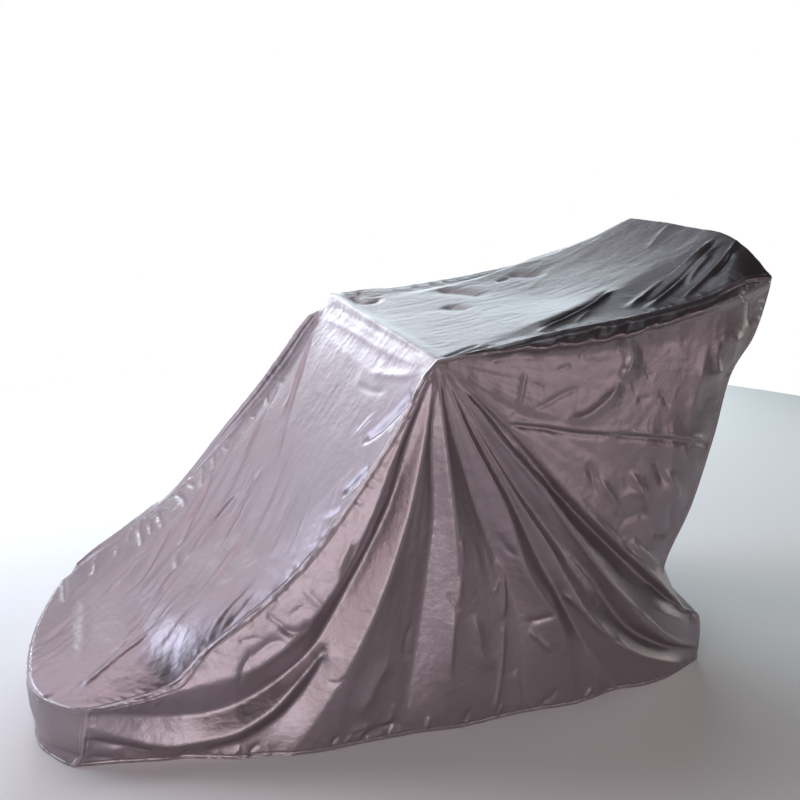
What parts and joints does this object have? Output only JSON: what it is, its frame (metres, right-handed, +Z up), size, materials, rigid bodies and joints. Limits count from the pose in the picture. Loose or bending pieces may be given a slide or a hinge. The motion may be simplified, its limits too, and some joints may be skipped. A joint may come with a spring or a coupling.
{
  "type": "treadmill cover",
  "caption": "Fitted cloth dust cover for a treadmill, draped from console and handrails down over the running deck to a gathered hem on the floor.",
  "frame": {"origin": "middle of the footprint on the floor", "axes": "+X from the running deck's end to the console, +Y from the near side to the far side, +Z up"},
  "size_m": [2.0407, 1.07, 1.2359],
  "materials": {
    "cover_cloth": "satin coated polyester taffeta"
  },
  "bodies": {
    "root": {"centre_strip": "cover_cloth", "near_side_panel": "cover_cloth", "far_side_panel": "cover_cloth", "rear_panel": "cover_cloth"}
  },
  "joints": []
}
